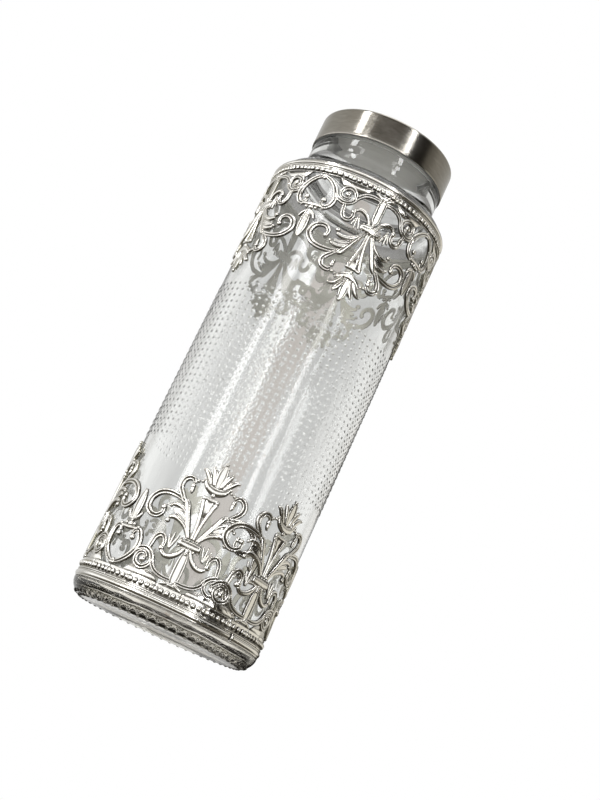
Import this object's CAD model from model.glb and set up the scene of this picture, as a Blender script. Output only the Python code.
from math import atan2, ceil, cos, degrees, exp, hypot, pi, radians, sin, tau

import bmesh
import bpy
from mathutils import Matrix, Vector


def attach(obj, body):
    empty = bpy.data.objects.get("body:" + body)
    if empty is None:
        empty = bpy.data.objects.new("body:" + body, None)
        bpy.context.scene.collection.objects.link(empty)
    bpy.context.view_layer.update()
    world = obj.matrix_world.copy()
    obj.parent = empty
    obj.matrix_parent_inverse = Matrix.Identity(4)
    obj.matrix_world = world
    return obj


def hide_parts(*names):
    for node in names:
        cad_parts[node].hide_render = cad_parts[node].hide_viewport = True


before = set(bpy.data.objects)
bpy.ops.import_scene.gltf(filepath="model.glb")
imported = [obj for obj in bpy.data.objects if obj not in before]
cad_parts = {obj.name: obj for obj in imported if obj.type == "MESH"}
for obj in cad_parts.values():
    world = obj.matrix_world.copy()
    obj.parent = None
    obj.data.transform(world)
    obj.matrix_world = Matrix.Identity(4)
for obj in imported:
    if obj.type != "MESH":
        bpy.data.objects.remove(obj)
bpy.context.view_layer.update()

# Sizes are in millimetres, as in the part's source, and become metres when a mesh is made.
# Angles grow from the front towards the right, in degrees.
MM = 0.001

# Glass
PANEL_RADIUS = 42.0
INNER_RADIUS = 39.0
LEDGE_TOP = 7.0
SHOULDER_START = 212.2
COLLAR_TOP = 234.3
LIP_TOP = 246.6
FINISH_RADIUS = 29.5
BORE_RADIUS = 26.4
PUNT_RADIUS = 34.0
PUNT_DEPTH = 3.0
FLOOR_MIDDLE = 9.7
ROUND_STEPS = 144

# Rows of small dots on the glass panel, each in an eight-sided cell of a grid
DOT_COLUMNS = 72
DOT_ROWS = 25
DOTS_FROM = 74.0
DOT_PITCH = 3.08
DOTS_TO = DOTS_FROM + DOT_ROWS * DOT_PITCH
PANEL_MIDDLE = DOTS_FROM + DOT_ROWS * DOT_PITCH / 2
DOT_RADIUS = 0.72
DOT_HEIGHT = 0.26
CELL_SIDES = 8
FIRST_CORNER = -0.75 * pi
# A dot's rings outside its crown, as (share of its radius, share of its height)
DOT_SECTION = ((1.25, 0.0), (1.0, 0.0), (0.64, 0.6))

# Moulded cells at the foot, made as larger dots over the first steps of the heel's round
KNURL_COLUMNS = 56
KNURL_ROWS = 2
KNURL_SPAN = 6
KNURL_RADIUS = 1.05
KNURL_HEIGHT = 0.6

# Screw thread on the glass, with its turns counted from the right side. Each end has a short
# tail, a share of a turn long, over which the ridge fades in.
THREAD_PITCH = 4.2
THREAD_TURNS = 1.25
THREAD_BASE = COLLAR_TOP + 4.6
THREAD_HEIGHT = 1.15
THREAD_HALF_WIDTH = 1.2
THREAD_ANGLE = 90
THREAD_TAIL = 0.02
THREAD_FADE = 14
THREAD_FLANK = 1.75
THREAD_ROWS = 42

# Silver bands. Their relief stands on the glass at the back radius, and distances across it
# are counted at the face radius.
BAND_BACK = 42.12
BAND_FACE = 43.2
STRAND_HEIGHT = 1.12
STRAND_WIDTH = 1.34
THIN_SHARE = 0.62
BACK_SHARE = 0.9
BALL_HEIGHT = 1.3
LOW_BALL = 0.72
BALL_GROWTH = 5
BALL_SIDES = 8
SPAN_STEPS = 4
STRIP_FOOT = 15.3
UPPER_TOP = 207.8
UPPER_RATIO = 0.9428
REPEAT_ANGLE = 78.0
FULL_REPEATS = 4
LOWER_FIRST = 43.0
UPPER_FIRST = 167.5
SEAM_BEFORE_FIRST = 4.0

# Polish of the metal: 0 where it stays dark, 1 where wiping brightens it, and this on its back
DULL = 2.0

# Where the end of a band's strip lies under its start
SUNK_SHARE = 0.5
SUNK_FROM = 10.0
SUNK_OVER = 4.0
LAP_LIFT = 0.3
LAP_FADE = 12.0

# Hoops, as heights of their two edges
LOWER_HOOP = (7.2, 10.4)
UPPER_HOOP = (211.6, 214.0)
HOOP_STEPS = 180
HOOP_GAP = 0.2

# Bead strips, as heights of their two edges and the angle of a bar
LOWER_STRIP = (10.5, 15.3)
UPPER_STRIP = (207.9, 211.5)
LOWER_BAR = 18.5
UPPER_BAR = 20.0
UNIT_COUNT = 23
UNIT_ANGLE = 360 / UNIT_COUNT
RAIL_HEIGHT = 42.55 - BAND_BACK
RAIL_EDGE = 0.25
RAIL_STEPS = 12
BEAD_RADIUS = 1.3
BEAD_SPACING = 2.75
BEAD_SIDES = 10
BAR_HALF = 1.9
BAR_FOOT = 0.6
BAR_HEIGHT = 0.9
BAR_STEPS = 8

# Cap
CAP_RADIUS = 33.1
CAP_BOTTOM = 235.3
CAP_TOP = 249.6
CAP_ROUND = 1.3
CAP_WALL = 0.5
CAP_STEPS = 192
LINER_TOP = 248.0
LINER_STEPS = 96


# Meshes
def mesh_piece(name, points, faces):
    """A smooth piece from points in millimetres, its faces turned outwards."""
    mesh = bpy.data.meshes.new(name)
    mesh.from_pydata([(x * MM, y * MM, z * MM) for x, y, z in points], [], faces)
    work = bmesh.new()
    work.from_mesh(mesh)
    bmesh.ops.recalc_face_normals(work, faces=work.faces)
    work.to_mesh(mesh)
    work.free()
    mesh.polygons.foreach_set("use_smooth", [True] * len(mesh.polygons))
    piece = bpy.data.objects.new(name, mesh)
    bpy.context.scene.collection.objects.link(piece)
    return piece


def on_round(angle, radius, height):
    """A point at an angle from the front, a distance from the axis and a height."""
    turn = radians(angle)
    return (radius * sin(turn), -radius * cos(turn), height)


class Turned:
    """Collects rings of points about the axis and the faces between them."""

    def __init__(self):
        self.points = []
        self.faces = []

    def point(self, place):
        """Adds a point and gives its number."""
        self.points.append(tuple(place))
        return len(self.points) - 1

    def pole(self, height):
        return [self.point((0, 0, height))]

    def ring(self, radius, height, count=ROUND_STEPS, shape=None):
        """A round of points. shape(angle, height) says how far each stands out of it."""
        numbers = []
        for step in range(count):
            angle = 360 * step / count
            reach = shape(angle, height) if shape else 0
            numbers.append(self.point(on_round(angle, radius + reach, height)))
        return numbers

    def wall(self, last, outline, count=ROUND_STEPS, shape=None):
        """Rings at the (radius, height) points of an outline, each joined to the one before it."""
        for radius, height in outline:
            ring = self.ring(radius, height, count, shape)
            self.join(last, ring)
            last = ring
        return last

    def join(self, low, high):
        """Faces between two rings, which may have different counts, or a ring and a pole."""
        if len(low) == 1 or len(high) == 1:
            pole, ring = (low, high) if len(low) == 1 else (high, low)
            for step, corner in enumerate(ring):
                self.faces.append((pole[0], corner, ring[(step + 1) % len(ring)]))
            return
        at_low = at_high = 0
        while at_low < len(low) or at_high < len(high):
            low_share = (at_low + 1) / len(low)
            high_share = (at_high + 1) / len(high)
            a, b = low[at_low % len(low)], high[at_high % len(high)]
            next_a, next_b = low[(at_low + 1) % len(low)], high[(at_high + 1) % len(high)]
            if low_share == high_share:
                self.faces.append((a, next_a, next_b, b))
                at_low += 1
                at_high += 1
            elif low_share < high_share:
                self.faces.append((a, next_a, b))
                at_low += 1
            else:
                self.faces.append((a, next_b, b))
                at_high += 1

    def dotted(self, low, row_count, columns, surface, radius, height):
        """Rows of raised dots, one in each cell of a grid on the surface, from the ring low up.

        surface(angle, share) gives a point of the wall, the way out of it, and the ways across
        and up along it.
        """
        cell_angle = 360 / columns
        for row in range(row_count):
            middle = (row + 0.5) / row_count
            top = (row + 1) / row_count
            sides = [
                self.point(surface(column * cell_angle, middle)[0]) for column in range(columns)
            ]
            high = [
                self.point(surface(step * cell_angle / 2, top)[0]) for step in range(2 * columns)
            ]
            for column in range(columns):
                right = (column + 1) % columns
                corners = [
                    low[2 * column], low[2 * column + 1], low[2 * right], sides[right],
                    high[2 * right], high[2 * column + 1], high[2 * column], sides[column],
                ]
                spot = surface((column + 0.5) * cell_angle, middle)
                self.dot(corners, spot, radius, height)
            low = high
        return low

    def dot(self, corners, spot, radius, height):
        """One dot inside the corners of its cell."""
        centre, out, across, up = (Vector(part) for part in spot)
        rings = [corners]
        for share, rise in DOT_SECTION:
            ring = []
            for step in range(CELL_SIDES):
                turn = tau * step / CELL_SIDES + FIRST_CORNER
                reach = share * radius
                place = centre + across * (reach * cos(turn)) + up * (reach * sin(turn))
                ring.append(self.point(place + out * (rise * height)))
            rings.append(ring)
        crown = self.point(centre + out * height)
        for outer, inner in zip(rings, rings[1:]):
            for step in range(CELL_SIDES):
                following = (step + 1) % CELL_SIDES
                self.faces.append((outer[step], outer[following], inner[following], inner[step]))
        for step in range(CELL_SIDES):
            self.faces.append((ring[step], ring[(step + 1) % CELL_SIDES], crown))


def turned_piece(name, start, outline, end, count):
    """A closed round piece, from one height on the axis through an outline to another."""
    body = Turned()
    last = body.wall(body.pole(start), outline, count)
    body.join(last, body.pole(end))
    return mesh_piece(name, body.points, body.faces)


def arc(centre, radius, start, stop, count):
    """Points of a round in an outline, from one angle to another in degrees."""
    turns = [radians(start + (stop - start) * step / count) for step in range(count + 1)]
    return [(centre[0] + radius * cos(turn), centre[1] + radius * sin(turn)) for turn in turns]


def arc_through(first, middle, last, count):
    """Points of the round through three points of an outline."""
    (ax, ay), (bx, by), (cx, cy) = first, middle, last
    double = 2 * (ax * (by - cy) + bx * (cy - ay) + cx * (ay - by))
    a2, b2, c2 = ax * ax + ay * ay, bx * bx + by * by, cx * cx + cy * cy
    centre_x = (a2 * (by - cy) + b2 * (cy - ay) + c2 * (ay - by)) / double
    centre_y = (a2 * (cx - bx) + b2 * (ax - cx) + c2 * (bx - ax)) / double
    start = degrees(atan2(ay - centre_y, ax - centre_x))
    stop = degrees(atan2(cy - centre_y, cx - centre_x))
    return arc((centre_x, centre_y), hypot(ax - centre_x, ay - centre_y), start, stop, count)


def straight(first, last, count):
    """Evenly spaced points of a straight run in an outline."""
    (ax, ay), (bx, by) = first, last
    return [
        (ax + (bx - ax) * step / count, ay + (by - ay) * step / count)
        for step in range(count + 1)
    ]


# Outlines of the glass, from the middle of the foot up the outside and down the inside
PUNT = [
    (radius, PUNT_DEPTH * (1 - (radius / PUNT_RADIUS) ** 2.2))
    for radius in (8.0, 15.0, 21.0, 26.0, 30.0, 32.5)
]
FOOT = PUNT + [(PUNT_RADIUS, 0.3), (35.2, 0.26)]
HEEL = arc_through((36.4, 0.4), (40.35, 2.05), (42.75, 6.7), 12)
LEDGE = [
    (42.72, 6.86), (42.6, 6.96), (42.4, LEDGE_TOP), (42.1, LEDGE_TOP + 0.02), (PANEL_RADIUS, 7.1),
]
LOW_PANEL = straight((PANEL_RADIUS, 8.0), (PANEL_RADIUS, DOTS_FROM), 14)
HIGH_PANEL = straight((PANEL_RADIUS, DOTS_TO), (PANEL_RADIUS, SHOULDER_START), 14)[1:]
SHOULDER = arc((35.5, SHOULDER_START), 6.5, 0, 90, 12)[1:]
NECK = arc((31.5, 220.3), 1.6, 270, 180, 5) + [(29.9, 221.4), (29.95, 222.0)]
TRANSFER_BEAD = arc_through((30.0, 222.1), (31.65, 223.75), (32.4, 227.0), 8)
COLLAR = [(32.4, 230.0)] + arc((31.4, 233.3), 1.0, 0, 90, 5) + [(29.9, COLLAR_TOP)]
FINISH = straight(
    (FINISH_RADIUS, COLLAR_TOP + 0.3), (FINISH_RADIUS, LIP_TOP - 0.8), THREAD_ROWS)
LIP = arc((28.7, 245.8), 0.8, 0, 90, 4)[1:] + arc((27.2, 245.8), 0.8, 90, 180, 4)
BORE = straight((BORE_RADIUS, 244.0), (BORE_RADIUS, 222.0), 8)
FLARE = arc_through((BORE_RADIUS, 221.9), (27.15, 220.1), (29.4, 215.9), 8)
INNER_SHOULDER = [(31.5, 215.75)] + arc((34.0, 210.7), 5.0, 90, 0, 10)
INNER_WALL = straight((INNER_RADIUS, 208.0), (INNER_RADIUS, 16.5), 24)
FLOOR = arc((33.0, 15.6), 6.0, 0, -90, 12) + [(28.0, 9.56), (20.0, 9.5), (10.0, 9.6)]


def thread_ridge(angle, level):
    """How far the thread stands out of the glass at an angle and a height."""
    best = 0.0
    turn = (angle - THREAD_ANGLE) / 360
    for lap in range(-1, ceil(THREAD_TURNS) + 1):
        along = turn + lap
        if -THREAD_TAIL <= along <= THREAD_TURNS + THREAD_TAIL:
            away = abs(level - THREAD_BASE - THREAD_PITCH * along) / THREAD_HALF_WIDTH
            to_end = min(along + THREAD_TAIL, THREAD_TURNS + THREAD_TAIL - along)
            flank = max(0.0, min(1.0, THREAD_FLANK * (1 - away)))
            best = max(best, min(1.0, to_end * THREAD_FADE) * THREAD_HEIGHT * flank)
    return best


def panel_surface(angle, share):
    """The panel's wall at an angle, a share of the way up the dots."""
    level = DOTS_FROM + share * DOT_ROWS * DOT_PITCH
    turn = radians(angle)
    out = (sin(turn), -cos(turn), 0)
    return on_round(angle, PANEL_RADIUS, level), out, (cos(turn), sin(turn), 0), (0, 0, 1)


def heel_surface(angle, share):
    """The heel's round at an angle, a share of the way up the moulded cells."""
    along = share * KNURL_SPAN
    before = min(int(along), len(HEEL) - 2)
    (r0, z0), (r1, z1) = HEEL[before], HEEL[before + 1]
    part = along - before
    radius, level = r0 + (r1 - r0) * part, z0 + (z1 - z0) * part
    length = hypot(r1 - r0, z1 - z0)
    rise, run = (z1 - z0) / length, (r1 - r0) / length
    turn = radians(angle)
    out = (sin(turn) * rise, -cos(turn) * rise, -run)
    up = (sin(turn) * run, -cos(turn) * run, rise)
    return on_round(angle, radius, level), out, (cos(turn), sin(turn), 0), up


def moulded_glass():
    """The whole bottle as one closed wall."""
    glass = Turned()
    last = glass.wall(glass.pole(PUNT_DEPTH), FOOT)
    last = glass.wall(last, HEEL[:1], 2 * KNURL_COLUMNS)
    last = glass.dotted(
        last, KNURL_ROWS, KNURL_COLUMNS, heel_surface, KNURL_RADIUS, KNURL_HEIGHT)
    last = glass.wall(last, HEEL[KNURL_SPAN + 1 :] + LEDGE + LOW_PANEL)
    last = glass.dotted(last, DOT_ROWS, DOT_COLUMNS, panel_surface, DOT_RADIUS, DOT_HEIGHT)
    last = glass.wall(last, HIGH_PANEL + SHOULDER + NECK + TRANSFER_BEAD + COLLAR)
    last = glass.wall(last, FINISH, shape=thread_ridge)
    last = glass.wall(last, LIP + BORE + FLARE + INNER_SHOULDER + INNER_WALL + FLOOR)
    glass.join(last, glass.pole(FLOOR_MIDDLE))
    return mesh_piece("moulded_glass", glass.points, glass.faces)


# Silver relief: strands and balls drawn on a flat sheet that is bent round the bottle.
def mirrored_section(half):
    """A strand's whole section from its left half.

    Each point is a share of half the width, a share of the height and a polish.
    """
    return half + [(-u, height, polish) for u, height, polish in reversed(half) if u]


ROUND = mirrored_section([(-1, 0, 0.1), (-1, 0.3, 0.1), (-0.68, 0.84, 0.85), (0, 1, 1)])
DOUBLE = mirrored_section([
    (-1, 0, 0.1), (-1, 0.4, 0.15), (-0.74, 0.94, 0.9), (-0.36, 0.97, 1), (-0.13, 0.6, 0.3),
    (0, 0.55, 0.2),
])
CUPPED = mirrored_section([
    (-1, 0, 0.1), (-1, 0.5, 0.15), (-0.8, 0.98, 1), (-0.56, 0.64, 0.2), (-0.3, 0.6, 0.95),
    (0, 0.66, 1),
])
FLUTED = mirrored_section([
    (-1, 0, 0.1), (-1, 0.3, 0.1), (-0.8, 0.85, 0.9), (-0.56, 0.55, 0.3), (-0.26, 0.98, 1),
    (0, 0.62, 0.5),
])

# Rings of a plate's rounded edge, as (share of the outline, share of the height, polish)
PLATE_EDGE = ((0.96, 0.0, DULL), (1.0, 0.05, 0.2), (1.0, 0.5, 0.2), (0.93, 1.0, 0.9))
# Rings of a ball, as (share of its radius, share of its height, polish)
BALL_SECTION = ((0.8, 0, DULL), (1, 0.05, 0), (1, 0.35, 0.1), (0.82, 0.72, 0.9), (0.45, 0.95, 1))

# The motifs. A strand is a section and its points, as (across, up, width), and a ball is
# (across, up, radius). Up is counted from the table that the bottle stands on. What a side
# holds is made twice, once mirrored.
MAIN_SIDES = [
    (ROUND, [
        (1.2, 32.4, 1.0), (3.2, 28.8, 1.5), (5.6, 26.9, 1.7), (8.2, 26.5, 1.5), (10.1, 27.9, 1.2),
    ]),
    (DOUBLE, [
        (10.3, 28.9, 1.2), (10.0, 31.2, 1.4), (11.2, 33.3, 1.7), (13.2, 33.6, 1.8),
        (14.8, 31.6, 1.7), (15.3, 28.8, 1.6), (15.6, 26.4, 1.2),
    ]),
    (DOUBLE, [
        (0.8, 18.2, 1.2), (5.0, 18.1, 1.5), (8.8, 19.2, 1.6), (11.3, 21.8, 1.7), (13.0, 24.9, 1.7),
        (16.2, 26.5, 1.8), (19.4, 25.4, 1.7), (21.4, 23.2, 1.4),
    ]),
    (DOUBLE, [
        (12.2, 23.4, 1.2), (12.6, 20.4, 1.5), (15.2, 18.6, 1.8), (18.0, 19.4, 1.8),
        (19.1, 22.0, 1.6), (17.7, 24.2, 1.4), (15.6, 24.2, 1.2), (14.6, 22.8, 1.0),
    ]),
    (ROUND, [
        (1.8, 36.2, 1.1), (3.3, 39.0, 1.6), (4.9, 42.3, 1.9), (6.6, 45.9, 2.0), (8.2, 49.0, 2.1),
        (9.6, 50.6, 1.4),
    ]),
    (ROUND, [
        (2.4, 36.2, 0.9), (3.6, 38.2, 1.3), (5.4, 40.3, 1.6), (8.2, 41.8, 1.7), (11.0, 42.3, 1.6),
        (13.2, 41.6, 1.1),
    ]),
    (FLUTED, [(6.0, 42.6, 1.0), (8.4, 44.3, 2.2), (11.0, 45.0, 1.8), (12.8, 45.2, 0.8)]),
    (ROUND, [
        (6.4, 43.6, 0.9), (7.4, 45.6, 1.3), (9.4, 46.9, 1.6), (11.8, 47.4, 1.5), (14.2, 46.9, 1.0),
    ]),
    (DOUBLE, [
        (9.4, 49.2, 1.4), (11.8, 51.9, 1.7), (13.9, 54.6, 1.9), (14.3, 57.2, 2.0),
        (12.7, 59.4, 1.9), (10.4, 59.7, 1.7), (9.0, 58.0, 1.2),
    ]),
    (DOUBLE, [
        (9.4, 49.8, 1.4), (14.0, 51.0, 1.8), (18.6, 51.1, 2.0), (22.4, 49.5, 2.2),
        (24.8, 46.2, 2.3), (24.5, 42.8, 2.2), (21.9, 40.5, 2.0), (18.8, 40.4, 1.8),
        (17.0, 42.0, 1.6), (16.9, 44.0, 1.3),
    ]),
    (ROUND, [(1.3, 60.0, 1.2), (2.1, 62.8, 1.9), (3.2, 65.4, 1.9), (4.5, 67.2, 0.9)]),
    (ROUND, [(2.9, 59.8, 1.2), (4.3, 62.2, 1.8), (6.0, 64.2, 1.8), (7.7, 65.3, 0.9)]),
    (ROUND, [
        (0.5, 36.2, 1.0), (0.6, 40.0, 1.1), (0.9, 44.0, 1.2), (1.6, 48.0, 1.3), (2.4, 51.4, 1.3),
        (3.0, 53.4, 1.5),
    ]),
    (ROUND, [(9.3, 57.0, 1.2), (9.2, 55.2, 1.5), (8.9, 53.6, 0.5)]),
    (ROUND, [(7.5, 29.4, 0.7), (7.7, 33.0, 0.8), (7.6, 36.6, 0.5)]),
    (ROUND, [(7.4, 29.6, 0.6), (6.4, 33.0, 0.8), (5.5, 36.2, 0.5)]),
    (ROUND, [(7.6, 29.6, 0.6), (8.6, 32.6, 0.8), (9.4, 35.2, 0.5)]),
    (ROUND, [(1.0, 17.2, 1.0), (2.4, 16.4, 1.3), (4.6, 15.6, 1.0)]),
]
MAIN_SIDE_BALLS = [
    (10.4, 28.8, 1.35), (15.9, 21.8, 1.5), (17.3, 44.6, 1.35), (9.4, 56.9, 1.2), (13.3, 40.0, 1.2),
    (14.6, 46.2, 0.8), (2.9, 54.1, 1.1), (8.2, 59.6, 0.85), (6.6, 60.1, 0.75), (4.2, 67.2, 0.65),
    (7.8, 65.0, 0.7), (1.4, 68.7, 0.5), (0.8, 35.7, 0.55), (2.5, 35.8, 0.55), (4.1, 35.6, 0.5),
    (0.9, 31.8, 0.5), (2.6, 31.8, 0.55), (4.2, 32.0, 0.5), (5.8, 61.2, 0.7), (3.3, 52.6, 0.6),
]
MAIN_MIDDLE = [
    (CUPPED, [
        (0, 17.5, 1.6), (0, 18.4, 2.9), (0, 20.6, 3.4), (0, 25.6, 3.3), (0, 28.8, 2.7),
        (0, 30.6, 1.0),
    ]),
    (ROUND, [(-5.0, 33.8, 2.2), (0, 33.6, 3.0), (5.0, 33.8, 2.2)]),
    (ROUND, [
        (-5.6, 61.2, 1.0), (-3.6, 59.0, 2.2), (0, 57.9, 2.8), (3.6, 59.0, 2.2), (5.6, 61.2, 1.0),
    ]),
    (ROUND, [(-2.9, 54.4, 1.0), (0, 54.0, 1.2), (2.9, 54.4, 1.0)]),
    (CUPPED, [(0, 59.4, 1.4), (0, 62.0, 2.6), (0, 65.4, 3.3), (0, 68.2, 2.3), (0, 69.8, 1.0)]),
    (ROUND, [(-1.6, 16.3, 1.3), (1.6, 16.3, 1.3)]),
    (ROUND, [(0, 29.4, 1.2), (0, 32.4, 1.5)]),
]
MAIN_MIDDLE_BALLS = [(0, 70.2, 0.95), (0, 56.2, 1.1), (0, 17.2, 0.8), (0, 30.6, 0.9)]
WEB = [
    (5.9, 15.3), (7.9, 17.3), (10.9, 18.7), (15.3, 18.8), (19.4, 18.9), (20.9, 17.0), (22.6, 15.3),
]
WEB_HEIGHT = 0.7
BUD = [(-2.8, 54.2), (-1.6, 49.6), (-0.8, 46.4), (0.8, 46.4), (1.6, 49.6), (2.8, 54.2)]
BUD_HEIGHT = 0.45
LOOP_SIDES = [
    (DOUBLE, [
        (0.4, 16.5, 1.2), (3.6, 17.9, 1.7), (6.9, 21.2, 2.0), (8.6, 25.2, 2.1), (8.3, 29.2, 2.1),
        (6.5, 31.9, 1.8), (4.5, 31.7, 1.5), (3.6, 29.8, 1.2),
    ]),
    (ROUND, [(0.6, 35.6, 0.9), (2.6, 37.0, 1.2), (3.8, 39.4, 0.6)]),
]
LOOP_SIDE_BALLS = [(4.3, 28.5, 1.35), (2.3, 33.7, 0.85), (5.3, 32.9, 0.7)]
LOOP_MIDDLE = [
    (ROUND, [(-5.0, 32.3, 1.0), (0, 32.0, 1.4), (5.0, 32.3, 1.0)]),
    (CUPPED, [(0, 34.4, 0.9), (0, 38.0, 2.8), (0, 42.0, 3.6), (0, 46.0, 2.9), (0, 49.4, 0.9)]),
    (ROUND, [(-1.4, 16.3, 1.4), (1.4, 16.3, 1.4)]),
]
LOOP_MIDDLE_BALLS = [(0, 33.5, 1.35), (0, 17.4, 0.9)]


def smooth_line(points, steps):
    """Points on a smooth line through the given ones, with as many values each."""
    line = []
    for span in range(len(points) - 1):
        before = points[max(span - 1, 0)]
        first, second = points[span], points[span + 1]
        after = points[min(span + 2, len(points) - 1)]
        for step in range(steps):
            t = step / steps
            line.append(tuple(
                0.5 * (
                    2 * b + (c - a) * t + (2 * a - 5 * b + 4 * c - d) * t**2
                    + (3 * b - a - 3 * c + d) * t**3
                )
                for a, b, c, d in zip(before, first, second, after)
            ))
    return line + [tuple(points[-1])]


class Relief:
    """Collects strands, plates and balls on the flat sheet, as (across, up, height, polish)."""

    def __init__(self):
        self.points = []
        self.faces = []

    def loft(self, rings):
        """Closed rings of points joined into one strand, its two ends capped."""
        first = len(self.points)
        size = len(rings[0])
        for ring in rings:
            self.points += ring
        for row in range(len(rings) - 1):
            for step in range(size):
                following = (step + 1) % size
                a, b = first + row * size, first + (row + 1) * size
                self.faces.append((a + step, a + following, b + following, b + step))
        self.faces.append(tuple(range(first, first + size)))
        last = first + (len(rings) - 1) * size
        self.faces.append(tuple(reversed(range(last, last + size))))

    def strand(self, section, points):
        """A section drawn along a smooth line, lower where the strand is thin."""
        line = smooth_line(points, SPAN_STEPS)
        widest = max(width for _, _, width in line)
        rings = []
        for step, (across, up, width) in enumerate(line):
            before, after = line[max(step - 1, 0)], line[min(step + 1, len(line) - 1)]
            run, rise = after[0] - before[0], after[1] - before[1]
            length = hypot(run, rise)
            half = STRAND_WIDTH * width / 2
            side = (-rise / length * half, run / length * half)
            top = STRAND_HEIGHT * (THIN_SHARE + (1 - THIN_SHARE) * width / widest)
            whole = [(u, height * top, polish) for u, height, polish in section]
            whole += [(BACK_SHARE, 0.0, DULL), (-BACK_SHARE, 0.0, DULL)]
            rings.append([
                (across + side[0] * u, up + side[1] * u, height, polish)
                for u, height, polish in whole
            ])
        self.loft(rings)

    def plate(self, outline, height):
        """A flat piece of sheet inside an outline, its edge rounded over."""
        middle = [sum(point[axis] for point in outline) / len(outline) for axis in (0, 1)]
        self.loft([
            [
                (middle[0] + (x - middle[0]) * share, middle[1] + (z - middle[1]) * share,
                 level * height, polish)
                for x, z in outline
            ]
            for share, level, polish in PLATE_EDGE
        ])

    def round_boss(self, across, up, radius, height, section, sides):
        """A round boss with the section's rings, as (share of radius, share of height, polish)."""
        self.loft([
            [
                (across + radius * reach * cos(tau * side / sides),
                 up + radius * reach * sin(tau * side / sides), level * height, polish)
                for side in range(sides)
            ]
            for reach, level, polish in section
        ])

    def ball(self, across, up, radius):
        """A ball of the relief. A small one stands a little lower."""
        height = BALL_HEIGHT * min(1.0, LOW_BALL + radius / BALL_GROWTH)
        self.round_boss(across, up, radius, height, BALL_SECTION, BALL_SIDES)

    def both_sides(self, strands, balls, sides=(1, -1)):
        """What a motif holds on its sides: 1 as drawn, -1 mirrored."""
        for side in sides:
            for section, points in strands:
                self.strand(section, [(side * across, up, width) for across, up, width in points])
            for across, up, radius in balls:
                self.ball(side * across, up, radius)


def main_relief():
    relief = Relief()
    relief.both_sides(MAIN_SIDES, MAIN_SIDE_BALLS)
    relief.both_sides(MAIN_MIDDLE, MAIN_MIDDLE_BALLS, (1,))
    for side in (1, -1):
        relief.plate([(side * across, up) for across, up in WEB], WEB_HEIGHT)
    relief.plate(BUD, BUD_HEIGHT)
    return relief


def loop_relief(sides=(1, -1)):
    relief = Relief()
    relief.both_sides(LOOP_SIDES, LOOP_SIDE_BALLS, sides)
    relief.both_sides(LOOP_MIDDLE, LOOP_MIDDLE_BALLS, (1,))
    return relief


def polished(piece, relief):
    """Keeps the relief's polish on the mesh, for the silver's material to read."""
    polish = piece.data.attributes.new("polish", "FLOAT", "POINT")
    polish.data.foreach_set("value", [point[3] for point in relief.points])
    return piece


def bent_round(name, relief, upper, angle=0.0, sunk=None):
    """The flat relief bent round the bottle, the way up of the lower or the upper band.

    sunk(across) gives the share of the relief's height that is left there.
    """
    points = []
    for across, up, height, _ in relief.points:
        left = sunk(across) if sunk else 1.0
        turn = angle + degrees((-across if upper else across) / BAND_FACE)
        level = UPPER_TOP - (up - STRIP_FOOT) * UPPER_RATIO if upper else up
        points.append(on_round(turn, BAND_BACK + height * left, level))
    return polished(mesh_piece(name, points, relief.faces), relief)


def sunk_past_lap(across):
    """The height that is left of the last palmette, where it goes under the first one."""
    past = min(1.0, max(0.0, (across - SUNK_FROM) / SUNK_OVER + 0.5))
    return 1.0 - (1.0 - SUNK_SHARE) * past


# Bead strip and hoop
# Rings of a bead, as (share of its radius, height, polish)
BEAD_SECTION = (
    (1.06, 0.2, 0), (1.0, 0.5, 0), (0.86, 0.82, 0.2), (0.68, 1.04, 1), (0.4, 1.24, 1),
    (0.15, 1.3, 1),
)
# How a bar thins out towards its end, as (share of its length, share of its width)
BAR_TAPER = ((0, 1), (0.7, 1), (0.9, 0.85), (1, 0.45))
# A hoop with a fine step along each edge, as (share of its span, height, polish)
HOOP_SECTION = (
    (0.04, 0, DULL), (0, 0.05, 0.3), (0, 0.5, 0.6), (0.08, 0.74, 1), (0.17, 0.55, 0.2),
    (0.24, 0.8, 0.9), (0.36, 1.04, 1), (0.5, 1.12, 1), (0.64, 1.04, 1), (0.76, 0.8, 0.9),
    (0.84, 0.55, 0.2), (0.92, 0.74, 1), (1, 0.5, 0.6), (1, 0.05, 0.3), (0.96, 0, DULL),
)


def bead_unit(low, high):
    """One length of the strip: a rail with a raised lower edge, two half bars and three beads."""
    relief = Relief()
    half = radians(UNIT_ANGLE / 2) * BAND_FACE
    middle = (low + high) / 2
    edge = RAIL_EDGE * (high - low) / 2
    rail = [
        (low + 0.1, 0, DULL), (low, 0.05, 0.3), (low, RAIL_HEIGHT + 0.2, 0.5),
        (low + edge * 0.4, RAIL_HEIGHT + 0.4, 1.0), (low + edge, RAIL_HEIGHT, 0.4),
        (middle, RAIL_HEIGHT, 1.0), (high - edge, RAIL_HEIGHT, 1.0),
        (high - edge * 0.3, RAIL_HEIGHT + 0.12, 1.0), (high, RAIL_HEIGHT - 0.15, 0.4),
        (high, 0.05, 0.3), (high - 0.1, 0, DULL),
    ]
    relief.loft([
        [(half * (2 * step / RAIL_STEPS - 1), up, height, polish) for up, height, polish in rail]
        for step in range(RAIL_STEPS + 1)
    ])
    turns = [pi * step / BAR_STEPS for step in range(BAR_STEPS + 1)]
    for side in (-1, 1):
        start, stop = side * half, side * (half - BAR_HALF)
        relief.loft([
            [
                (start + (stop - start) * share, middle + BEAD_RADIUS * width * cos(turn),
                 RAIL_HEIGHT * BAR_FOOT + BAR_HEIGHT * width * sin(turn), sin(turn) ** 2)
                for turn in turns
            ]
            for share, width in BAR_TAPER
        ])
    for step in (-1, 0, 1):
        relief.round_boss(step * BEAD_SPACING, middle, BEAD_RADIUS, 1.0, BEAD_SECTION, BEAD_SIDES)
    return relief


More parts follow.
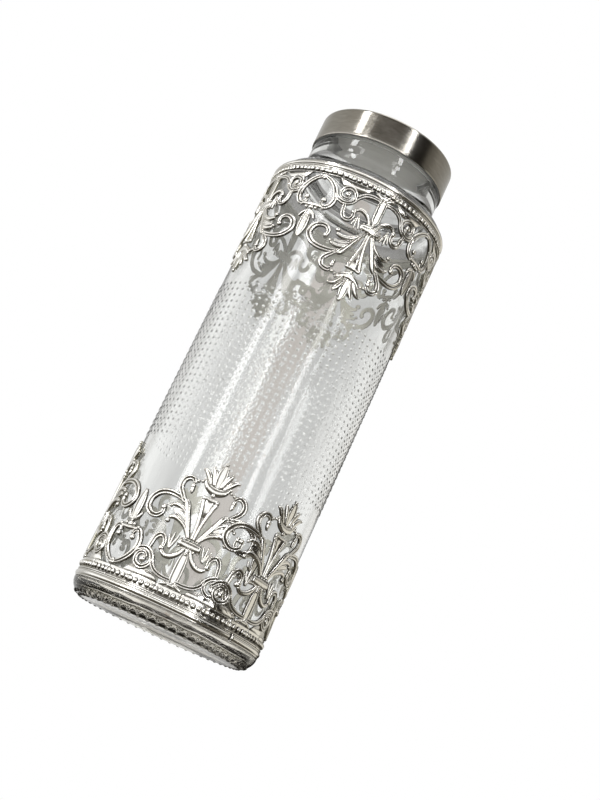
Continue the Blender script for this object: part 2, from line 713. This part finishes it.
def hoop_relief(low, high, seam):
    """A smooth half-round hoop, cut at the seam."""
    relief = Relief()
    rings = []
    for step in range(HOOP_STEPS + 1):
        angle = seam + HOOP_GAP + (360 - 2 * HOOP_GAP) * step / HOOP_STEPS
        across = radians(angle) * BAND_FACE
        rings.append([
            (across, low + share * (high - low), height, polish)
            for share, height, polish in HOOP_SECTION
        ])
    relief.loft(rings)
    return relief


def lifted_at_seam(piece, seam):
    """Lifts the strip's upper end at its seam, and lets it down again along its length."""
    for vertex in piece.data.vertices:
        x, y, z = vertex.co
        radius = hypot(x, y)
        after = (degrees(atan2(x, -y)) - seam) % 360
        share = (radius / MM - BAND_BACK) / (BAND_FACE - BAND_BACK)
        lift = LAP_LIFT * exp(-after / LAP_FADE) * min(1.0, max(0.0, share))
        scale = (radius + lift * MM) / radius
        vertex.co = (x * scale, y * scale, z)


# Nodes
# Sockets of the Mix node for colours, whose names it uses for several kinds of value
MIX_FACTOR = 0
MIX_FIRST = 6
MIX_SECOND = 7
MIX_COLOUR = 2


def add(tree, kind, inputs=None, **settings):
    """A node with its settings, and its inputs joined to sockets or set to values."""
    made = tree.nodes.new(kind)
    for name, value in settings.items():
        setattr(made, name, value)
    for key, value in (inputs or {}).items():
        if isinstance(value, bpy.types.NodeSocket):
            tree.links.new(value, made.inputs[key])
        else:
            made.inputs[key].default_value = value
    return made


def calc(tree, operation, *values):
    inputs = dict(enumerate(values))
    return add(tree, "ShaderNodeMath", inputs, operation=operation).outputs["Value"]


def mixed(tree, factor, first, second):
    """A colour between two, each a socket or its red, green and blue, by a factor."""
    first, second = ((*end, 1.0) if isinstance(end, tuple) else end for end in (first, second))
    inputs = {MIX_FACTOR: factor, MIX_FIRST: first, MIX_SECOND: second}
    return add(tree, "ShaderNodeMix", inputs, data_type="RGBA").outputs[MIX_COLOUR]


def layered(tree, under, layers):
    """A colour with others laid over it in turn, each by its own factor."""
    for factor, over in layers:
        under = mixed(tree, factor, under, over)
    return under


def spread(tree, value, low, high, out_low, out_high):
    """A value's range moved to another one, and held inside it."""
    inputs = {
        "Value": value, "From Min": low, "From Max": high, "To Min": out_low, "To Max": out_high,
    }
    return add(tree, "ShaderNodeMapRange", inputs).outputs["Result"]


def split(tree, vector):
    return add(tree, "ShaderNodeSeparateXYZ", {"Vector": vector}).outputs


def grained(tree, vector, scale, detail, **more):
    """A noise texture's pattern, from 0 to 1."""
    inputs = {"Vector": vector, "Scale": scale, "Detail": detail, **more}
    return add(tree, "ShaderNodeTexNoise", inputs).outputs["Fac"]


def bumped(tree, height, strength, distance):
    inputs = {"Height": height, "Strength": strength, "Distance": distance}
    return add(tree, "ShaderNodeBump", inputs).outputs["Normal"]


# A tree of nodes that sets copies of a piece round the axis
def repeat_tree():
    tree = bpy.data.node_groups.new("repeat_round_axis", "GeometryNodeTree")
    for name, kind in (
        ("Piece", "Geometry"), ("Count", "Int"), ("First Angle", "Float"),
        ("Step Angle", "Float"), ("Finish", "Material"),
    ):
        tree.interface.new_socket(name, in_out="INPUT", socket_type=f"NodeSocket{kind}")
    tree.interface.new_socket("Copies", in_out="OUTPUT", socket_type="NodeSocketGeometry")
    given = add(tree, "NodeGroupInput").outputs
    line = add(tree, "GeometryNodeMeshLine", {"Count": given["Count"], "Offset": (0, 0, 0)})
    number = add(tree, "GeometryNodeInputIndex").outputs["Index"]
    angle = calc(tree, "MULTIPLY_ADD", number, given["Step Angle"], given["First Angle"])
    turn = add(tree, "ShaderNodeCombineXYZ", {"Z": angle}).outputs["Vector"]
    rotation = add(tree, "FunctionNodeEulerToRotation", {"Euler": turn}).outputs["Rotation"]
    copies = add(tree, "GeometryNodeInstanceOnPoints", {
        "Points": line.outputs["Mesh"], "Instance": given["Piece"], "Rotation": rotation,
    })
    real = add(tree, "GeometryNodeRealizeInstances", {"Geometry": copies.outputs["Instances"]})
    finished = add(tree, "GeometryNodeSetMaterial", {
        "Geometry": real.outputs["Geometry"], "Material": given["Finish"],
    })
    add(tree, "NodeGroupOutput", {"Copies": finished.outputs["Geometry"]})
    return tree


def repeated(piece, tree, count, first_angle, step_angle, material):
    """The piece copied round the axis by the tree, made a plain mesh."""
    modifier = piece.modifiers.new("repeat", "NODES")
    modifier.node_group = tree
    names = {item.name: item.identifier for item in tree.interface.items_tree}
    modifier[names["Count"]] = count
    modifier[names["First Angle"]] = radians(first_angle)
    modifier[names["Step Angle"]] = radians(step_angle)
    modifier[names["Finish"]] = material
    graph = bpy.context.evaluated_depsgraph_get()
    mesh = bpy.data.meshes.new_from_object(piece.evaluated_get(graph), depsgraph=graph)
    piece.modifiers.clear()
    piece.data = mesh


# Effects that the materials share
def new_group(name, inputs, outputs):
    tree = bpy.data.node_groups.new(name, "ShaderNodeTree")
    tree.interface.new_socket("Vector", in_out="INPUT", socket_type="NodeSocketVector")
    for label, value in inputs.items():
        socket = tree.interface.new_socket(label, in_out="INPUT", socket_type="NodeSocketFloat")
        socket.default_value = value
    for label in outputs:
        tree.interface.new_socket(label, in_out="OUTPUT", socket_type="NodeSocketFloat")
    return tree, add(tree, "NodeGroupInput").outputs, add(tree, "NodeGroupOutput")


def placed(tree, group, place, values):
    """What a shared effect puts out in a material, with this material's own values."""
    return add(tree, "ShaderNodeGroup", {"Vector": place, **values}, node_tree=group).outputs


def handling_marks():
    """Faint smears and finer specks, as fingers and a cloth leave them."""
    inputs = {"Smear Scale": 40.0, "Speck Scale": 900.0}
    tree, given, result = new_group("handling_marks", inputs, ("Smear", "Speck"))
    place = given["Vector"]
    smear = grained(tree, place, given["Smear Scale"], 4.0, Roughness=0.6, Distortion=0.6)
    speck = grained(tree, place, given["Speck Scale"], 2.0, Roughness=0.5)
    tree.links.new(spread(tree, smear, 0.42, 0.68, 0.0, 1.0), result.inputs["Smear"])
    tree.links.new(spread(tree, speck, 0.56, 0.72, 0.0, 1.0), result.inputs["Speck"])
    return tree


def fine_scratches():
    """Hairline scratches in two directions."""
    tree, given, result = new_group("fine_scratches", {"Scale": 300.0}, ("Lines",))
    found = []
    for turn in (0.5, 2.1):
        turned = add(tree, "ShaderNodeMapping", {
            "Vector": given["Vector"], "Rotation": (0.3, turn, turn), "Scale": (1.0, 0.06, 1.0),
        }).outputs["Vector"]
        noise = grained(tree, turned, given["Scale"], 2.0, Roughness=0.4)
        found.append(spread(tree, noise, 0.66, 0.74, 0.0, 1.0))
    tree.links.new(calc(tree, "MAXIMUM", *found), result.inputs["Lines"])
    return tree


def turning_lines():
    """Fine lines round the axis on walls and tops alike, as a lathe's brush leaves them."""
    inputs = {"Line Scale": 9000.0, "Length Scale": 3.0}
    tree, given, result = new_group("turning_lines", inputs, ("Fine", "Broad"))
    place = split(tree, given["Vector"])
    x, y, z = place["X"], place["Y"], place["Z"]
    squares = [calc(tree, "MULTIPLY", way, way) for way in (x, y)]
    radius = calc(tree, "SQRT", calc(tree, "ADD", *squares))
    across = calc(tree, "MULTIPLY", calc(tree, "ADD", radius, z), given["Line Scale"])
    turn = calc(tree, "ARCTAN2", y, x)
    for label, coarser in (("Fine", 1.0), ("Broad", 0.12)):
        along = add(tree, "ShaderNodeCombineXYZ", {
            "X": calc(tree, "MULTIPLY", across, coarser),
            "Y": calc(tree, "MULTIPLY", calc(tree, "COSINE", turn), given["Length Scale"]),
            "Z": calc(tree, "MULTIPLY", calc(tree, "SINE", turn), given["Length Scale"]),
        }).outputs["Vector"]
        noise = grained(tree, along, 1.0, 3.0, Roughness=0.65)
        tree.links.new(noise, result.inputs[label])
    return tree


# Materials
CLEAN_GLASS = (0.985, 0.99, 0.987)
SMEARED_GLASS = (0.955, 0.96, 0.955)
FOOT_GLASS = (0.83, 0.795, 0.73)
BRIGHT_SILVER = (0.9, 0.885, 0.85)
SMEARED_SILVER = (0.82, 0.8, 0.75)
SILVER_BACK = (0.46, 0.445, 0.39)
DARK_TARNISH = (0.07, 0.062, 0.048)
PALE_TARNISH = (0.42, 0.4, 0.31)
DARK_STEEL = (0.37, 0.35, 0.315)
PALE_STEEL = (0.47, 0.45, 0.41)
CLEAN_PLASTIC = (0.2, 0.2, 0.195)
SMEARED_PLASTIC = (0.25, 0.25, 0.243)
CLEAN_FOAM = (0.78, 0.77, 0.73)
SMEARED_FOAM = (0.7, 0.69, 0.65)
GLASS_IOR = 1.5
GRAIN_STRENGTH = 0.13
# Heights over which the warm tint of the foot fades out
FOOT_FADE = (6.5 * MM, 8.0 * MM)
# Distances up and down from the middle of the panel over which its grain fades out
GRAIN_FADE = (34.0 * MM, 42.0 * MM)
# Places across over which the tarnish turns paler towards each side
PALE_LEFT = (-33.0 * MM, -41.0 * MM)
PALE_RIGHT = (36.0 * MM, 42.0 * MM)
# Values of the polish over which the silver turns to its dull back
BACK_FADE = (1.2, 1.8)


def new_material(name):
    material = bpy.data.materials.new(name)
    material.use_nodes = True
    tree = material.node_tree
    tree.nodes.clear()
    shader = add(tree, "ShaderNodeBsdfPrincipled")
    output = add(tree, "ShaderNodeOutputMaterial", {"Surface": shader.outputs["BSDF"]})
    place = add(tree, "ShaderNodeTexCoord").outputs["Object"]
    return material, tree, shader, output, place


def finish(tree, shader, looks):
    """Joins each look to the shader's socket of that name."""
    for label, value in looks.items():
        tree.links.new(value, shader.inputs[label])


def clear_glass(groups):
    """Bottle glass with a slow ripple, smears, a pressed grain on its panel and a warmer foot."""
    material, tree, shader, _, place = new_material("clear_glass")
    shader.inputs["Transmission Weight"].default_value = 1.0
    shader.inputs["Metallic"].default_value = 0.0
    shader.inputs["IOR"].default_value = GLASS_IOR
    marks = placed(tree, groups["marks"], place, {"Smear Scale": 34.0, "Speck Scale": 1500.0})
    stretched = add(tree, "ShaderNodeMapping", {"Vector": place, "Scale": (1.0, 1.0, 0.35)})
    ripple = grained(tree, stretched.outputs["Vector"], 55.0, 2.0, Roughness=0.4)
    grain = grained(tree, place, 620.0, 1.0)
    level = split(tree, place)["Z"]
    clean = mixed(tree, marks["Smear"], CLEAN_GLASS, SMEARED_GLASS)
    at_foot = spread(tree, level, *FOOT_FADE, 1.0, 0.0)
    off_panel = calc(tree, "ABSOLUTE", calc(tree, "SUBTRACT", level, PANEL_MIDDLE * MM))
    pressed = spread(tree, off_panel, *GRAIN_FADE, GRAIN_STRENGTH, 0.0)
    smeared = spread(tree, marks["Smear"], 0.0, 1.0, 0.0, 0.045)
    uneven = calc(tree, "MULTIPLY_ADD", grain, pressed, ripple)
    finish(tree, shader, {
        "Base Color": mixed(tree, at_foot, clean, FOOT_GLASS),
        "Roughness": calc(tree, "MULTIPLY_ADD", pressed, 0.12, smeared),
        "Normal": bumped(tree, uneven, 0.22, 1.2 * MM),
    })
    return material


def silver_plate(groups):
    """Wiped silver with tarnish in its hollows, paler at the bottle's sides, and a dull back."""
    material, tree, shader, _, place = new_material("silver_plate")
    shader.inputs["Metallic"].default_value = 1.0
    marks = placed(tree, groups["marks"], place, {"Smear Scale": 90.0, "Speck Scale": 2200.0})
    lines = placed(tree, groups["scratches"], place, {"Scale": 700.0})["Lines"]
    kept = add(tree, "ShaderNodeAttribute", attribute_name="polish", attribute_type="GEOMETRY")
    wiped = kept.outputs["Fac"]
    uneven = calc(tree, "MULTIPLY_ADD", marks["Smear"], 0.15, wiped)
    hollow = spread(tree, uneven, 0.38, 0.72, 1.0, 0.0)
    on_back = spread(tree, wiped, *BACK_FADE, 0.0, 1.0)
    sideways = split(tree, place)["X"]
    left = spread(tree, sideways, *PALE_LEFT, 0.0, 1.0)
    right = spread(tree, sideways, *PALE_RIGHT, 0.0, 0.8)
    tarnish = mixed(tree, calc(tree, "MAXIMUM", left, right), DARK_TARNISH, PALE_TARNISH)
    plate = mixed(tree, marks["Smear"], BRIGHT_SILVER, SMEARED_SILVER)
    rough = calc(tree, "MULTIPLY_ADD", marks["Smear"], 0.08, 0.1)
    worn = calc(tree, "MULTIPLY_ADD", hollow, 0.2, rough)
    height = calc(tree, "MULTIPLY_ADD", lines, -0.5, marks["Speck"])
    finish(tree, shader, {
        "Base Color": layered(tree, plate, [(on_back, SILVER_BACK), (hollow, tarnish)]),
        "Roughness": calc(tree, "MULTIPLY_ADD", on_back, 0.4, worn),
        "Normal": bumped(tree, height, 0.25, 0.1 * MM),
    })
    return material


def cap_steel(groups):
    """Brushed steel, its lines running round the cap."""
    material, tree, shader, _, place = new_material("cap_steel")
    shader.inputs["Metallic"].default_value = 1.0
    lines = placed(tree, groups["turning"], place, {"Line Scale": 9000.0, "Length Scale": 5.0})
    marks = placed(tree, groups["marks"], place, {"Smear Scale": 60.0, "Speck Scale": 1600.0})
    fine = calc(tree, "MULTIPLY", lines["Fine"], 0.4)
    tone = calc(tree, "MULTIPLY_ADD", lines["Broad"], 0.6, fine)
    paler = spread(tree, tone, 0.35, 0.65, 0.0, 1.0)
    rough = spread(tree, lines["Fine"], 0.3, 0.7, 0.1, 0.18)
    finish(tree, shader, {
        "Base Color": mixed(tree, paler, DARK_STEEL, PALE_STEEL),
        "Roughness": calc(tree, "MULTIPLY_ADD", marks["Smear"], 0.04, rough),
        "Normal": bumped(tree, lines["Fine"], 0.12, 0.08 * MM),
    })
    return material


def insert_plastic(groups):
    """Grey moulded plastic."""
    material, tree, shader, _, place = new_material("insert_plastic")
    marks = placed(tree, groups["marks"], place, {"Smear Scale": 80.0, "Speck Scale": 1800.0})
    finish(tree, shader, {
        "Base Color": mixed(tree, marks["Smear"], CLEAN_PLASTIC, SMEARED_PLASTIC),
        "Roughness": spread(tree, marks["Smear"], 0.0, 1.0, 0.42, 0.55),
        "Normal": bumped(tree, marks["Speck"], 0.3, 0.1 * MM),
    })
    return material


def liner_foam(groups):
    """Pale foam with fine cells."""
    material, tree, shader, _, place = new_material("liner_foam")
    cells = add(tree, "ShaderNodeTexVoronoi", {"Vector": place, "Scale": 2600.0})
    marks = placed(tree, groups["marks"], place, {"Smear Scale": 70.0, "Speck Scale": 1500.0})
    finish(tree, shader, {
        "Base Color": mixed(tree, marks["Smear"], CLEAN_FOAM, SMEARED_FOAM),
        "Roughness": spread(tree, marks["Speck"], 0.0, 1.0, 0.75, 0.9),
        "Normal": bumped(tree, cells.outputs["Distance"], 0.5, 0.2 * MM),
    })
    return material


# Cap
def cap_skin():
    """The drawn steel shell: a flat top, a rounded edge, a straight skirt and a rolled edge."""
    outline = [(radius, CAP_TOP) for radius in (10.0, 20.0, 28.0, 31.2)]
    outline += arc((CAP_RADIUS - CAP_ROUND, CAP_TOP - CAP_ROUND), CAP_ROUND, 90, 0, 8)
    outline += straight((CAP_RADIUS, CAP_TOP - 2.0), (CAP_RADIUS, CAP_BOTTOM + 0.7), 10)
    for inset, rise in ((0.02, 0.3), (0.1, 0.1), (0.25, 0.0), (0.42, 0.08), (CAP_WALL, 0.3)):
        outline.append((CAP_RADIUS - inset, CAP_BOTTOM + rise))
    for inset, drop in ((CAP_WALL, 1.2), (0.7, 0.7), (1.2, CAP_WALL)):
        outline.append((CAP_RADIUS - inset, CAP_TOP - drop))
    outline.append((20.0, CAP_TOP - CAP_WALL))
    return turned_piece("cap_skin", CAP_TOP, outline, CAP_TOP - CAP_WALL, CAP_STEPS)


def pressed_liner():
    """The soft disc, with the ring that the glass lip has pressed into it."""
    outline = [
        (10.0, LINER_TOP), (28.0, LINER_TOP), (30.2, LINER_TOP), (30.5, 247.85), (30.6, 247.6),
        (30.6, 247.0), (30.5, 246.75), (30.2, 246.62), (29.6, LIP_TOP), (29.1, 246.64),
        (28.6, 246.75), (27.2, 246.75), (26.8, 246.66), (26.3, LIP_TOP), (15.0, LIP_TOP),
    ]
    return turned_piece("pressed_liner", LINER_TOP, outline, LIP_TOP, LINER_STEPS)


# Camera at the photograph's place: its right, up and back directions, and its position in metres
CAMERA_LENS = 57.497
CAMERA_SENSOR = 36.0
CAMERA_REACH = (0.01, 50.0)
CAMERA_RIGHT = (0.90326, -0.13159, 0.40841)
CAMERA_UP = (-0.42853, -0.22809, 0.87426)
CAMERA_BACK = (-0.02189, -0.96471, -0.26242)
CAMERA_PLACE = (0.0, -0.55565, -0.03133)


def turned_to(place, right, up, back):
    """The matrix that sets a thing at a place, with its own three directions."""
    turn = Matrix((Vector(right), Vector(up), Vector(back))).transposed().to_4x4()
    return Matrix.Translation(place) @ turn


def place_camera():
    camera = bpy.data.objects.new("photo_camera", bpy.data.cameras.new("photo_camera"))
    camera.data.lens = CAMERA_LENS
    camera.data.sensor_width = CAMERA_SENSOR
    camera.data.clip_start, camera.data.clip_end = CAMERA_REACH
    camera.matrix_world = turned_to(CAMERA_PLACE, CAMERA_RIGHT, CAMERA_UP, CAMERA_BACK)
    bpy.context.scene.collection.objects.link(camera)
    bpy.context.scene.camera = camera


# Studio: a pale floor that is see-through from below, a pale surround and soft lamps
FLOOR_HALF = 3.0
FLOOR_DARK = (0.8, 0.8, 0.79)
FLOOR_PALE = (0.84, 0.84, 0.83)

# Lamps, as a name, a low and a high place, a width and a power. A place is an angle, a distance
# and a height in metres.
LAMPS = [
    ("left_panel", (-59.0, 1.1, -0.2), (-40.0, 1.1, 0.72), 0.17, 2.45),
    ("right_strip", (28.0, 1.1, -0.2), (20.3, 1.1, 0.72), 0.12, 1.46),
    ("high_left_panel", (-57.0, 1.1, 0.78), (-57.0, 1.1, 1.15), 0.17, 2.4),
    ("high_right_strip", (28.0, 1.1, 0.78), (28.0, 1.1, 1.15), 0.12, 1.5),
    ("top_panel", (0.0, 0.7, 1.3), (180.0, 0.2, 1.3), 0.8, 3.0),
]
LAMP_AIM = Vector((0.0, 0.0, 0.12))

# Light that the surround throws on the silver and the steel, at angles counted from the front
SURROUND = [
    (-180, (0.7, 0.7, 0.69)), (-110, (0.5, 0.49, 0.46)), (-75, (0.46, 0.44, 0.4)),
    (-55, (0.36, 0.34, 0.3)), (-42, (0.24, 0.22, 0.19)), (-28, (0.09, 0.078, 0.06)),
    (0, (0.1, 0.086, 0.07)), (14, (0.09, 0.08, 0.065)), (27, (0.02, 0.018, 0.015)),
    (58, (0.02, 0.018, 0.015)), (72, (0.22, 0.205, 0.175)), (95, (0.42, 0.4, 0.36)),
    (140, (0.55, 0.54, 0.51)), (180, (0.7, 0.7, 0.69)),
]
# Patches laid over it: middle angle, reach, lowest and highest direction, softness and light
PATCHES = [
    (110.0, 66.0, -0.6, 0.385, 6.0, (0.025, 0.022, 0.018)),
    (112.0, 42.0, -0.25, 0.32, 5.0, (0.78, 0.75, 0.67)),
    (-49.0, 74.0, -0.3, 0.385, 10.0, (1.25, 1.25, 1.24)),
]
PATCH_EDGE = 0.06
CEILING_LIGHT = (0.8, 0.8, 0.79)
LIGHT_FROM_BELOW = (0.1, 0.09, 0.07)
# Light seen through the glass, from the middle of the back outwards and upwards
THROUGH_MIDDLE = (0.585, 0.585, 0.58)
THROUGH_BESIDE = (0.95, 0.95, 0.94)
THROUGH_SIDES = (0.66, 0.66, 0.64)
THROUGH_STRIPE = (0.96, 0.96, 0.94)
THROUGH_TAN = (0.5, 0.45, 0.41)
THROUGH_NECK = (0.27, 0.264, 0.258)
THROUGH_FRONT = (0.95, 0.95, 0.93)
# The stripe is a patch that takes X in 360ths in place of an angle, and has every height.
STRIPE = (-10.0, 2.4, -2.0, 2.0, 0.6)
WHITE = (1.0, 1.0, 1.0)


def pale_floor():
    half = FLOOR_HALF
    mesh = bpy.data.meshes.new("pale_floor")
    corners = [(-half, -half, 0), (half, -half, 0), (half, half, 0), (-half, half, 0)]
    mesh.from_pydata(corners, [], [(0, 1, 2, 3)])
    floor = bpy.data.objects.new("pale_floor", mesh)
    bpy.context.scene.collection.objects.link(floor)
    material, tree, shader, output, place = new_material("pale_floor")
    noise = grained(tree, place, 12.0, 4.0)
    finish(tree, shader, {
        "Base Color": mixed(tree, noise, FLOOR_DARK, FLOOR_PALE),
        "Roughness": spread(tree, noise, 0.3, 0.7, 0.7, 0.85),
    })
    clear = add(tree, "ShaderNodeBsdfTransparent").outputs["BSDF"]
    side = add(tree, "ShaderNodeNewGeometry").outputs["Backfacing"]
    one_sided = add(tree, "ShaderNodeMixShader", {0: side, 1: shader.outputs["BSDF"], 2: clear})
    tree.links.new(one_sided.outputs["Shader"], output.inputs["Surface"])
    mesh.materials.append(material)
    floor.visible_glossy = False


def patch(tree, across, up, middle, reach, low, high, soft):
    """Where the surround is lit, 0 to 1: near a middle angle, between two heights of direction."""
    off = calc(tree, "ABSOLUTE", calc(tree, "SUBTRACT", across, middle / 360))
    inside = spread(tree, off, (reach - soft) / 360, (reach + soft) / 360, 1.0, 0.0)
    above = spread(tree, up, low - PATCH_EDGE, low + PATCH_EDGE, 0.0, 1.0)
    below = spread(tree, up, high - PATCH_EDGE, high + PATCH_EDGE, 1.0, 0.0)
    return calc(tree, "MULTIPLY", inside, calc(tree, "MULTIPLY", above, below))


def room_light(tree, way):
    """The light that metal and glass throw back: a round of greys with patches over it."""
    up = way["Z"]
    front = calc(tree, "MULTIPLY", way["Y"], -1.0)
    across = calc(tree, "MULTIPLY", calc(tree, "ARCTAN2", way["X"], front), 1 / tau)
    ramp = add(tree, "ShaderNodeValToRGB", {"Fac": calc(tree, "ADD", across, 0.5)})
    ramp.color_ramp.interpolation = "EASE"
    stops = ramp.color_ramp.elements
    while len(stops) < len(SURROUND):
        stops.new(0.5)
    for stop, (angle, light) in zip(stops, SURROUND):
        stop.position = angle / 360 + 0.5
        stop.color = (*light, 1.0)
    layers = [(spread(tree, up, 0.62, 0.98, 0.0, 1.0), CEILING_LIGHT)]
    for *bounds, light in PATCHES:
        layers.append((patch(tree, across, up, *bounds), light))
    layers.append((spread(tree, up, -0.15, -0.5, 0.0, 1.0), LIGHT_FROM_BELOW))
    return layered(tree, ramp.outputs["Color"], layers)


def light_through(tree, way):
    """The light behind the glass: pale stripes, darker where the neck is seen through."""
    up = way["Z"]
    off = calc(tree, "ABSOLUTE", way["X"])
    over_body = spread(tree, up, 0.405, 0.43, 0.0, 1.0)
    under_mouth = spread(tree, up, 0.6, 0.75, 1.0, 0.0)
    return layered(tree, THROUGH_MIDDLE, [
        (spread(tree, off, 0.085, 0.19, 0.0, 1.0), THROUGH_BESIDE),
        (spread(tree, off, 0.45, 0.7, 0.0, 1.0), THROUGH_SIDES),
        (patch(tree, way["X"], up, *STRIPE), THROUGH_STRIPE),
        (spread(tree, off, 0.02, 0.014, 0.0, 0.8), THROUGH_TAN),
        (calc(tree, "MULTIPLY", over_body, under_mouth), THROUGH_NECK),
        (spread(tree, way["Y"], 0.1, -0.5, 0.0, 1.0), THROUGH_FRONT),
    ])


def surround():
    """Plain white behind the object, and studio light in reflections and through the glass."""
    world = bpy.data.worlds.new("studio")
    bpy.context.scene.world = world
    world.use_nodes = True
    tree = world.node_tree
    tree.nodes.clear()
    way = split(tree, add(tree, "ShaderNodeTexCoord").outputs["Generated"])
    path = add(tree, "ShaderNodeLightPath").outputs
    seen = mixed(tree, path["Is Transmission Ray"], room_light(tree, way), light_through(tree, way))
    final = mixed(tree, path["Is Camera Ray"], seen, WHITE)
    light = add(tree, "ShaderNodeBackground", {"Color": final, "Strength": 1.0})
    add(tree, "ShaderNodeOutputWorld", {"Surface": light.outputs["Background"]})


def lamp(name, low, high, width, power):
    """A soft panel from a low to a high place, that faces the bottle."""
    low, high = Vector(on_round(*low)), Vector(on_round(*high))
    data = bpy.data.lights.new(name, "AREA")
    data.shape = "RECTANGLE"
    data.size = width
    data.size_y = (high - low).length
    data.energy = power
    made = bpy.data.objects.new(name, data)
    place = (low + high) / 2
    along = (high - low).normalized()
    across = along.cross(place - LAMP_AIM).normalized()
    made.matrix_world = turned_to(place, across, along, across.cross(along))
    made.visible_camera = False
    bpy.context.scene.collection.objects.link(made)


def studio():
    pale_floor()
    surround()
    for settings in LAMPS:
        lamp(*settings)
    bpy.context.scene.view_settings.view_transform = "Standard"


# The object
def build_band(name, upper, first, hoop_span, strip_span, bar_angle, tree, silver):
    """All silver pieces of one band."""
    turn = -1 if upper else 1
    step = turn * REPEAT_ANGLE
    seam = first - turn * SEAM_BEFORE_FIRST
    mains = bent_round(f"{name}_palmette_relief", main_relief(), upper)
    repeated(mains, tree, FULL_REPEATS, first, step, silver)
    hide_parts(*[f"{name}_palmette_{number}" for number in range(1, 5)])
    loops = bent_round(f"{name}_loop_relief", loop_relief(), upper)
    repeated(loops, tree, FULL_REPEATS, first + step / 2, step, silver)
    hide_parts(*[f"{name}_loop_{number}" for number in range(1, 5)])
    last = first + FULL_REPEATS * step
    lapped = bent_round(
        f"{name}_lapped_palmette", main_relief(), upper, last, sunk_past_lap)
    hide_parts(f"{name}_palmette_5")
    end = bent_round(
        f"{name}_lapped_loop", loop_relief((-1,)), upper, last + step / 2, lambda _: SUNK_SHARE)
    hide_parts(f"{name}_loop_5")
    hoop = bent_round(f"{name}_hoop", hoop_relief(*hoop_span, seam), False)
    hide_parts(f"{name}_rim_wire")
    beads = bent_round(f"{name}_bead_frieze", bead_unit(*strip_span), False)
    repeated(beads, tree, UNIT_COUNT, bar_angle + UNIT_ANGLE / 2, UNIT_ANGLE, silver)
    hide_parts(f"{name}_bead_strip")
    for piece in (hoop, beads):
        lifted_at_seam(piece, seam)
    for piece in (mains, loops, lapped, end, hoop, beads):
        if not piece.data.materials:
            piece.data.materials.append(silver)
        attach(piece, "bottle")


def main():
    place_camera()
    studio()
    groups = {
        "marks": handling_marks(), "scratches": fine_scratches(), "turning": turning_lines(),
    }
    silver = silver_plate(groups)
    glass = moulded_glass()
    glass.data.materials.append(clear_glass(groups))
    glass.visible_shadow = False
    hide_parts("glass_bottle")
    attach(glass, "bottle")
    tree = repeat_tree()
    build_band("lower", False, LOWER_FIRST, LOWER_HOOP, LOWER_STRIP, LOWER_BAR, tree, silver)
    build_band("upper", True, UPPER_FIRST, UPPER_HOOP, UPPER_STRIP, UPPER_BAR, tree, silver)
    skin = cap_skin()
    skin.data.materials.append(cap_steel(groups))
    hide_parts("cap_shell")
    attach(skin, "cap")
    liner = pressed_liner()
    liner.data.materials.append(liner_foam(groups))
    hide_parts("cap_liner")
    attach(liner, "liner")
    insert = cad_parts["cap_insert"]
    insert.data.materials.clear()
    insert.data.materials.append(insert_plastic(groups))


main()
